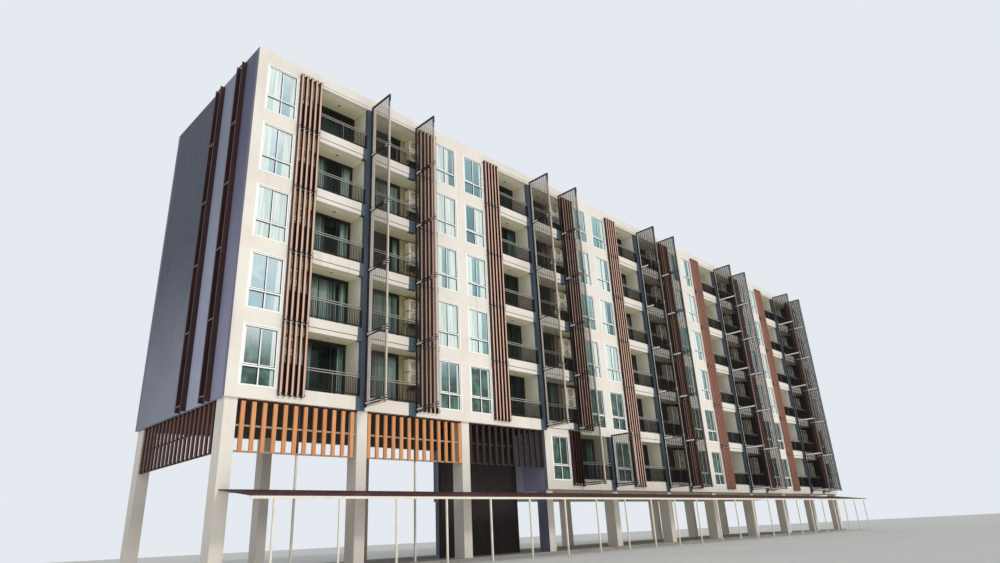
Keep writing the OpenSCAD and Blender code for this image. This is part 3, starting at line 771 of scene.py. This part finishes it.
def door_set():
    """Sliding doors: an outer frame and three leaves, the middle one behind with a handle."""
    side, head, foot, stile, kick, lap = 30, 34, 22, 26, 36, 14
    leaf_deep, leaf_t, inset, grip_out, grip_up = (16, 34, 16), 17, 18, 12, (560, 660)
    frame_deep, first_cut, second_cut = (BALC_D + 8, BALC_D + 74), 0.36, 0.68
    frames, panes = Shape(), Shape()
    for h, k in flats():
        x0, x1 = span(h, k, DOOR_IN, BALC_END - DOOR_EDGE)
        z0, z1 = level(k) + SLAB_UP, storey_top(k) - LINTEL
        wide = x1 - x0
        pick = (random.random(), random.random())
        for x, z in surround((x0, x1), (z0, z1), side, side, head, foot):
            frames.box(x, frame_deep, z)
        cuts = [x0 + side, x0 + wide * first_cut, x0 + wide * second_cut, x1 - side]
        for i in range(3):
            a0, a1 = cuts[i] - (lap if i else 0), cuts[i + 1] + (lap if i < 2 else 0)
            d = BALC_D + leaf_deep[i]
            bars = surround((a0, a1), (z0 + foot, z1 - head), stile, stile, stile, kick)
            for j, (x, z) in enumerate(bars):
                frames.box(x, (d, d + leaf_t), z, m=1 if i == 1 and j == 0 else 0)
            uv = (((a0 - x0) / wide, 0.03), ((a1 - x0) / wide, 0.97))
            panes.box((a0 + inset, a1 - inset), (d + 6, d + 11),
                      (z0 + foot + 28, z1 - head - inset), pick=pick, uv=uv)
            if i == 1:
                grip, y = a0 + stile / 2, d - grip_out
                low, high = z0 + grip_up[0], z0 + grip_up[1]
                frames.rod((grip, y, low), (grip, y, high), 5, m=1)
                for z in (low + 10, high - 10):
                    frames.rod((grip, y, z), (grip, d + 2, z), 4, m=1)
    frames.place("balcony_door_frames", [black_metal, light_metal], "dark_metal", bevel=0.002)
    panes.place("balcony_door_panes", [door_glass], "door_glass", ["balcony_doors"])


def slot_windows():
    """Narrow windows of both gables, each with a crossbar and a sill."""
    bar, foot, cross_up, lap, inset = 18, 20, 300, 4, 12
    frame_deep, sill_deep, glass_deep = (14, 60), (-12, 14), (32, 40)
    frames, panes = Shape(), Shape()
    for right in (False, True):
        for k in range(0 if right else 1, STOREYS):
            for y in SLOTS:
                z0, z1 = level(k) + SLAB_UP, level(k) + SLAB_UP + SLOT_H
                bars = surround((y, y + SLOT_W), (z0, z1), bar, bar, bar, foot)
                bars.append(((y + bar, y + SLOT_W - bar), (z0 + cross_up, z0 + cross_up + bar)))
                for across, z in bars:
                    frames.box(turned(frame_deep, LENGTH, right), across, z)
                sill = turned(sill_deep, LENGTH, right)
                frames.box(sill, (y + lap, y + SLOT_W - lap), (z0 - 8, z0 + 8), m=1)
                glass = turned(glass_deep, LENGTH, right)
                panes.box(glass, (y + inset, y + SLOT_W - inset), (z0 + inset, z1 - inset))
    frames.place("gable_window_frames", [black_metal, lavender], "dark_metal", bevel=0.002)
    panes.place("gable_window_panes", [slot_glass], "window_glass", ["gable_windows"])


def railing_set():
    """Square balusters between two top rails, each with a dark strip under it painted as its shadow, and
    a foot rail, on small foot plates.
    """
    gaps, wide, thin, foot_up, stop, low_up, plate, over = 15, 4.5, 2.5, 50, 60, 34, 7, 9
    clear, slim_clear = 12, 14
    dark, light, slim = Shape(), Shape(), Shape()
    y0, y1 = RAIL_Y, RAIL_Y + RAIL_W
    for h, k in flats():
        x0, x1 = span(h, k, rail_from(h, k), BALC_END)
        z = level(k)
        for low in (RAIL_UP - RAIL_W, RAIL_UP - 2 * RAIL_W - RAIL_PAIR):
            light.box((x0, x1), (y0, y1), (z + low + 5, z + low + RAIL_W))
            # Painted shadow: a dark strip under each top rail
            dark.box((x0, x1), (y0 + 3, y1 - 3), (z + low, z + low + plate))
        low = z + CURB + low_up
        dark.box((x0 + RAIL_W, x1 - RAIL_W), (y0, y1), (low, low + RAIL_W))
        mid = (x0 + x1 - RAIL_W) / 2
        post = (z + CURB + 4, z + RAIL_UP - RAIL_W)
        light.box((mid + 4, mid + RAIL_W - 4), (y0 + 1, y1 - 1), post, m=1)
        for x in (x0, x1 - RAIL_W):
            dark.box((x, x + RAIL_W), (y0 - 2, y1 + 2), (z + CURB, z + RAIL_UP - 1))
        for x in (x0, mid, x1 - RAIL_W):
            dark.box((x - over, x + RAIL_W + over), (y0 - 8, y1 + 14), (z + CURB, z + CURB + plate))
        gap = (x1 - x0 - RAIL_W) / gaps
        up = (z + CURB + foot_up, z + RAIL_UP - stop)
        for i in range(1, gaps):
            x = x0 + i * gap + RAIL_W / 2
            if abs(x - mid - RAIL_W / 2) > clear:
                dark.box((x - wide, x + wide), (y0 + 2, y1 - 2), up)
        for i in range(gaps):
            x = x0 + (i + 0.5) * gap + RAIL_W / 2
            if abs(x - mid - RAIL_W / 2) > slim_clear:
                slim.box((x - thin, x + thin), (y0 + 3, y1 - 3), up)
    slim.place("railing_infill", [black_metal], "dark_metal")
    dark.place("railing_bars", [black_metal], "dark_metal", ["railings_low", "railings_high"], 0.002)
    light.place("railing_rails", [rail_metal, post_metal], "light_metal", bevel=0.002)


def screens():
    """Place of each screen along the front, with its lower and its upper end."""
    start, end = level(1) - SCREEN_DROP, level(STOREYS) - SCREEN_TOP
    out = []
    for h in range(HALVES):
        x = line(h + 1) - (SCREEN_AT if h % 2 else 0)
        out.append((x, start if h < PODIUM else level(0), end))
    out.append((line(PODIUM + 1), level(0), start))
    return out


def screen_trim():
    """Pale strips on the outer tubes, painted as light on their front faces, clamps, and plates between
    the cross tubes.
    """
    cover, clamp = (-SCREEN_OUT - 5, -SCREEN_OUT), (-SCREEN_OUT - 12, -SCREEN_OUT + 20)
    lit_to, short, longer, wide, sleeve = level(STOREYS) - 260, 170, 280, 26, 23
    s = Shape()
    for x, low, high in screens():
        far = x > line(4) + 10
        top = min(high, lit_to)
        # Painted light: the pale strip on each outer tube's front face, thinner far along the block
        s.box((x, x + 11) if far else (x - 12, x + 15), cover, (low, top))
        s.box((x - 2, x + 15), cover, (top, high), m=1)
        for y in (-SCREEN_OUT, -TUBE):
            s.box((x + 17, x + 22), (y + 6, y + 28), (low, high), m=1)
        long = SCREEN_OUT - 2 * TUBE if x > line(6) - 10 else longer if far else short
        for z in [level(k) for k in range(STOREYS + 1) if low - 30 <= level(k) <= high]:
            for y in (-SCREEN_OUT, -TUBE):
                s.box((x - sleeve, x + sleeve), (y - 9, y + TUBE + 5), (z - 16, z + 92), m=1)
            s.box((x - wide, x + wide), clamp, (z + 2, z + 20), m=2)
            s.box((x - wide, x + wide), clamp, (z + 52, z + 72))
            plate = (z + CROSS_W - 8, z + CROSS_GAP + 8)
            s.box((x - 20, x + 3), (-TUBE - long, -TUBE), plate, m=3 if far else 2)
    finishes = [taupe_metal, black_metal, light_metal, white_metal]
    s.place("screen_trim", finishes, "light_metal", bevel=0.002)


def screen_blades():
    """Fine upright blades that lean on the cross tubes, every third one wider."""
    blades, turn, sheet, thin, wider = 24, math.radians(24), 3.5, 13, 22
    step = (SCREEN_OUT - 2 * TUBE) / (blades + 1)
    side, deep = math.sin(turn), math.cos(turn)
    faces = [(0, 1, 2, 3), (7, 6, 5, 4), (0, 4, 5, 1), (1, 5, 6, 2), (2, 6, 7, 3), (3, 7, 4, 0)]
    s = Shape()
    for x, low, high in screens():
        extra = 7 if x > line(HALVES - 1) + 10 else 4 if x > line(5) - 10 else 0
        for i in range(1, blades + 1):
            wide = (wider if i % 3 == 2 else thin) + extra
            a = (x + CROSS_W - TUBE / 2, -TUBE - i * step - wide / 2)
            b = (a[0] + side * wide, a[1] + deep * wide)
            off = (deep * sheet, -side * sheet)
            ring = [a, b, (b[0] + off[0], b[1] + off[1]), (a[0] + off[0], a[1] + off[1])]
            s.add([(q[0], q[1], z) for z in (low, high - TUBE) for q in ring], faces)
    s.place("screen_blades", [bar_metal], "grey_metal", ["screen_bars"])


def slat_fittings():
    """Dark angle brackets with small light caps at both ends of every slat."""
    gap, top_gap, sheet, foot, head = 14, 98, 6, 44, 56
    arm, plate, cap = (-78, -20), (-89, -84), (-92, -89)
    s = Shape()
    for h, k in flats():
        end = level(k + 1) - (top_gap if k == STOREYS - 1 else gap)
        x0 = span(h, k, STRIP_IN, rail_from(h, k))[0]
        for i in range(slats(h, k)):
            a = x0 + i * SLAT_STEP
            for z, tall in ((level(k) + sheet, foot), (end - sheet - head, head)):
                s.box((a - sheet, a), arm, (z, z + tall), m=1)
                s.box((a - sheet, a + SLAT_W + sheet), plate, (z + tall * 0.3, z + tall), m=1)
                s.box((a - 3, a + 34), cap, (z + tall * 0.42, z + tall * 0.8))
    s.place("slat_fittings", [light_metal, black_metal], "dark_metal", bevel=0.0015)


def guard_boards():
    """Short boards between the slats, up to the height of the railing."""
    clear, wide, low_up, edge, board, facing = 13, 39, 62, 4, (-34, -10), (-39, -34)
    s = Shape()
    for h, k in flats():
        x0 = span(h, k, STRIP_IN, rail_from(h, k))[0]
        low, high = level(k) + low_up, level(k) + RAIL_UP
        for i in range(slats(h, k) - 1):
            a = x0 + i * SLAT_STEP + SLAT_W + clear
            s.box((a, a + wide), board, (low, high))
            s.box((a + edge, a + wide - edge), facing, (low + 28, high - 24))
    s.place("guard_boards", [guard_wood], "brown_wood", bevel=0.002)


def fan_place(flip, x, z):
    """Middle of a unit's fan opening, and its radius."""
    return x + COND_W * (0.42 if flip else 0.58), z + COND_H / 2, COND_H * 0.4


def unit_case(case, flip, x, y, z):
    """Case of an outdoor unit, with a round well for the fan, a lid and a foot."""
    (cx, cz, r), n, well, tiny, lid, foot = fan_place(flip, x, z), 32, 30, 1e-9, 10, 14
    right, top, back_y = x + COND_W, z + COND_H, y + COND_D
    corners = [(a, b) for a in (x - cx, right - cx) for b in (z - cz, top - cz)]
    angles = sorted([2 * math.pi * i / n for i in range(n)]
                    + [math.atan2(b, a) % (2 * math.pi) for a, b in corners])
    n = len(angles)
    hole, rim, back = [], [], []
    for a in angles:
        c, s = math.cos(a), math.sin(a)
        reach = min((right - cx) / c if c > tiny else (x - cx) / c if c < -tiny else 1e9,
                    (top - cz) / s if s > tiny else (z - cz) / s if s < -tiny else 1e9)
        hole.append((cx + r * c, y, cz + r * s))
        back.append((cx + r * c, y + well, cz + r * s))
        rim.append((cx + reach * c, y, cz + reach * s))
    far = [(p[0], back_y, p[2]) for p in rim]
    faces = []
    for i in range(n):
        j = (i + 1) % n
        faces.append((n + i, n + j, j, i))
        faces.append((2 * n + i, 2 * n + j, n + j, n + i))
    case.add(hole + rim + far, faces + [tuple(range(2 * n, 3 * n))[::-1]])
    case.add(hole + back, [(i, (i + 1) % n, n + (i + 1) % n, n + i) for i in range(n)], m=1)
    case.add(back, [tuple(range(n))], m=1)
    case.box((x - 4, right + 4), (y - 4, back_y + 4), (top - lid, top + 2))
    case.box((x - 2, right + 2), (y - 3, back_y), (z, z + foot))


def unit_guard(grille, flip, x, y, z):
    """Vents at the front and the sides of a unit, and the wire guard over its fan."""
    (cx, cz, r), right = fan_place(flip, x, z), x + COND_W
    vent_in, vent_to, low, step, tall, wire = 12, 46, 44, 30, 7, 1.7
    vents = (right - vent_to, right - vent_in) if flip else (x + vent_in, x + vent_to)
    for i in range(6):
        up = (z + low + i * step, z + low + i * step + tall)
        grille.box(vents, (y - 2, y + 1), up)
        grille.box((x - 2, right + 2), (y + 30, y + COND_D - 34), up, m=1)
    for i in range(1, 5):
        grille.ring((cx, y - 3, cz), r * i / 4.2, wire, 18, 3)
    grille.ring((cx, y - 2, cz), r + 2, 3.2, 24, 4, m=1)
    for i in range(6):
        a = math.pi * i / 6
        c, s = r * math.cos(a), r * math.sin(a)
        grille.rod((cx - c, y - 1, cz - s), (cx + c, y - 1, cz + s), 1.5, 4, cap=False)


def unit_fan(grille, flip, x, y, z):
    """Hub and three slanted blades behind the guard."""
    (cx, cz, r), hub, thick = fan_place(flip, x, z), 20, 3
    sheet = [(0, 3, 2, 1), (4, 5, 6, 7), (0, 1, 5, 4), (1, 2, 6, 5), (2, 3, 7, 6), (3, 0, 4, 7)]
    blade = ((18, -0.5, 8), (r * 0.9, -0.32, 6), (r * 0.9, 0.42, 20), (18, 0.6, 22))
    grille.rod((cx, y + 6, cz), (cx, y + 28, cz), hub, 10)
    for i in range(3):
        turn = 2 * math.pi * i / 3 + 0.4
        pts = [(cx + out * math.cos(turn + a), y + dy + t, cz + out * math.sin(turn + a))
               for t in (0, thick) for out, a, dy in blade]
        grille.add(pts, sheet)


def unit_set():
    """Two units above each other on every balcony, on bracketed shelves, with a pipe beside them."""
    wedge = [(0, 2, 1), (3, 4, 5), (0, 1, 4, 3), (1, 2, 5, 4), (2, 0, 3, 5)]
    back, tip = BALC_D - 4, BALC_D - 120
    case, grille, shelf = Shape(), Shape(), Shape()
    for h, k in flats():
        x0, x1 = span(h, k, COND_IN, COND_IN + COND_W)
        flip = mirrored(h, k)
        for up in COND_UP:
            z = level(k) + up
            for part, shape in ((unit_case, case), (unit_guard, grille), (unit_fan, grille)):
                part(shape, flip, x0, COND_Y, z + SHELF_T)
            for y in (COND_Y, COND_Y + 128):
                shelf.box((x0, x1), (y, y + 24), (z, z + 13))
            for a in (x0 + 30, x1 - 48):
                shelf.box((a, a + 18), (COND_Y, BALC_D), (z - SHELF_T, z))
                shelf.add([(x, y, z + down) for x in (a + 4, a + 14)
                           for y, down in ((back, -14), (back, -90), (tip, -14))], wedge)
        pipe = x0 + 20 if flip else x1 - 20
        shelf.rod((pipe, BALC_D - 8, level(k) + 60), (pipe, BALC_D - 8, level(k) + 1180), 8, 6, m=1)
    case.place("condenser_cases", [case_metal, fan_shade], "white_metal", ["condensers"], 0.003)
    grille.place("condenser_guards", [fan_shade, case_metal], "dark_metal")
    shelf.place("condenser_shelves", [light_metal, case_metal], "light_metal", bevel=0.001)


def canopy_cover():
    """Rows of small round tiles that lap down the slope."""
    per, rows, swell, back_y = 5, 7, 11, 70
    x0, x1 = CANOPY_IN, LENGTH - CANOPY_IN
    cols = TILES * per + 1
    long = (CANOPY_OUT + back_y) / rows
    profile = []
    for r in range(rows):
        a = back_y - r * long
        profile += [(a, 1.0), (a - long, 8.0)]
    lines = [(y, BASE - CANOPY_DROP + y * CANOPY_FALL / CANOPY_OUT - 9 + up) for y, up in profile]
    across = [x0 + (x1 - x0) * i / (cols - 1) for i in range(cols)]
    waves = [swell * abs(math.sin(math.pi * (i / per))) for i in range(cols)]
    pts = [(x, y, z + wave) for y, z in lines for x, wave in zip(across, waves)]
    under = ((-CANOPY_OUT, lines[-1][1] - 15), (back_y, lines[0][1] - 7))
    pts += [(x, y, z) for y, z in under for x in across]
    ends = [r * cols for r in range(len(lines) + len(under))]
    faces = [(a + i, b + i, b + i + 1, a + i + 1)
             for a, b in zip(ends, ends[1:] + ends[:1]) for i in range(cols - 1)]
    faces += [tuple(reversed(ends)), tuple(e + cols - 1 for e in ends)]
    s = Shape()
    s.add(pts, faces)
    s.place("canopy_tiles", [tiles], "red_sheet", ["canopy_roof"])


def downlights():
    """A round light in the ceiling of every balcony."""
    y, ring_r, wire, lamp_r = 300, 34, 8, 31
    s = Shape()
    for h, k in flats():
        x0, x1 = span(h, k, SCREEN_AT, BALC_END)
        x, z = (x0 + x1) / 2, storey_top(k)
        s.ring((x, y, z - 5), ring_r, wire, 20, 6, axis="z")
        s.rod((x, y, z - wire), (x, y, z), lamp_r, 20, m=1)
    s.place("balcony_downlights", [light_metal, hollow_dark], "light_metal")


def fascia_groove_shadows():
    """Dark strips painted as the shadow in the grooves of the fascias, and a proud lip on the roof band,
    with a dark strip painted as shadow above it.
    """
    lip, gap_to, thin = 58, 70, 4
    groove_shadows, lips = Shape(), Shape()
    for h, k in flats():
        x0, x1 = span(h, k, BALC_IN, BALC_END)
        if k > 1 or (k == 1 and h >= PODIUM):
            under = level(k) - GROOVE_DOWN
            # Painted shadow in the fascia's groove
            groove_shadows.box((x0, x1), (GROOVE + 0.5, 2 * GROOVE - 1), (under - GROOVE + 0.5, under - 0.5))
        if k == STOREYS - 1:
            top = storey_top(k)
            lips.box((x0, x1), (-2 * thin, 0), (top, top + lip))
            lips.box((x0, x1), (-thin, 0), (top + gap_to, top + gap_to + thin))
            groove_shadows.box((x0, x1), (-3, 0), (top + lip, top + gap_to))
    groove_shadows.place("groove_shadow_strips", [black_metal], "dark_metal")
    lips.place("roof_lips", [cream], "front_render", bevel=0.002)


window_set(True)
window_set(False)
door_set()
slot_windows()
railing_set()
screen_trim()
screen_blades()
slat_fittings()
guard_boards()
unit_set()
canopy_cover()
downlights()
fascia_groove_shadows()


def camera():
    """The photograph's viewpoint, in the frame's metres and in radians."""
    place, lens, yaw, pitch, roll = (-17.9288, -13.0316, 0.4298), 23.69, 0.799, 0.370, -0.052
    data = bpy.data.cameras.new("photo_camera")
    data.lens, data.sensor_width, data.sensor_fit = lens, 36.0, "HORIZONTAL"
    data.clip_end = 500
    ahead = Vector((math.sin(yaw) * math.cos(pitch), math.cos(yaw) * math.cos(pitch), math.sin(pitch)))
    right = Vector((math.cos(yaw), -math.sin(yaw), 0))
    up = right.cross(ahead)
    c, s = math.cos(roll), math.sin(roll)
    pose = Matrix((c * right + s * up, -s * right + c * up, -ahead)).transposed().to_4x4()
    pose.translation = place
    obj = add_object("photo_camera", data)
    obj.matrix_world = pose
    bpy.context.scene.camera = obj


def floor():
    """A plain pale floor."""
    r = 160
    mesh = bpy.data.meshes.new("floor")
    mesh.from_pydata([(-r, -r, 0), (r, -r, 0), (r, r, 0), (-r, r, 0)], [], [(0, 1, 2, 3)])
    p = Paint("studio_floor", 0.9)
    p.colour(p.mix(p.ramp(p.noise(0.4, 3.0), 0.3, 0.7), (226, 226, 222), (220, 220, 217)))
    p.bump(p.noise(60.0, 3.0), 0.05, 0.002)
    mesh.materials.append(p.material)
    floor = add_object("floor", mesh)


def backdrop():
    """Soft light from all round, and a pale backdrop for the camera, for gloss and behind glass."""
    world = bpy.data.worlds.new("studio")
    bpy.context.scene.world = world
    world.use_nodes = True
    w = Nodes(world.node_tree)
    soft = w.tree.nodes["Background"]
    w.put(soft.inputs[0], (0.93, 0.96, 1.0, 1))
    w.put(soft.inputs[1], 0.42)
    pale = w.node("ShaderNodeBackground", {0: srgb(228, 234, 240), 1: 1.0})
    rays = w.node("ShaderNodeLightPath").outputs
    seen = rays["Is Camera Ray"]
    for kind in ("Is Glossy Ray", "Is Transmission Ray"):
        seen = w.math("MAXIMUM", seen, rays[kind])
    both = w.node("ShaderNodeMixShader", {0: seen, 1: soft.outputs[0], 2: pale.outputs[0]})
    w.put(w.tree.nodes["World Output"].inputs[0], both.outputs[0])


def lamp(name, kind, energy, tint, side, mirrored_in_glass=False, **settings):
    """A light that shines from the given side."""
    data = bpy.data.lights.new(name, kind)
    data.energy, data.color = energy, tint
    for key, value in settings.items():
        setattr(data, key, value)
    obj = add_object(name, data)
    obj.rotation_euler = Vector(side).to_track_quat("Z", "Y").to_euler()
    obj.visible_glossy = mirrored_in_glass
    return obj


def lights():
    """Three suns, and a low panel for the light that the ground throws up at the block."""
    lamp("key", "SUN", 0.97, (1.0, 0.97, 0.935), (0.12, -0.90, 0.46), angle=math.radians(9))
    lamp("side_fill", "SUN", 0.55, (0.95, 0.98, 1.0), (-0.85, -0.45, 0.35), True, angle=math.radians(60))
    lamp("low_fill", "SUN", 0.36, (1.0, 0.98, 0.92), (0, -1, 0.12), angle=math.radians(40))
    panel = lamp("ground_fill", "AREA", 3400, (1.0, 0.98, 0.9), (0, 0, -1),
                 shape="RECTANGLE", size=70.0, size_y=22.0)
    panel.location = (0, -14.5, 0.05)
    panel.visible_camera = False


camera()
floor()
backdrop()
lights()
bpy.context.scene.view_settings.view_transform = "Standard"
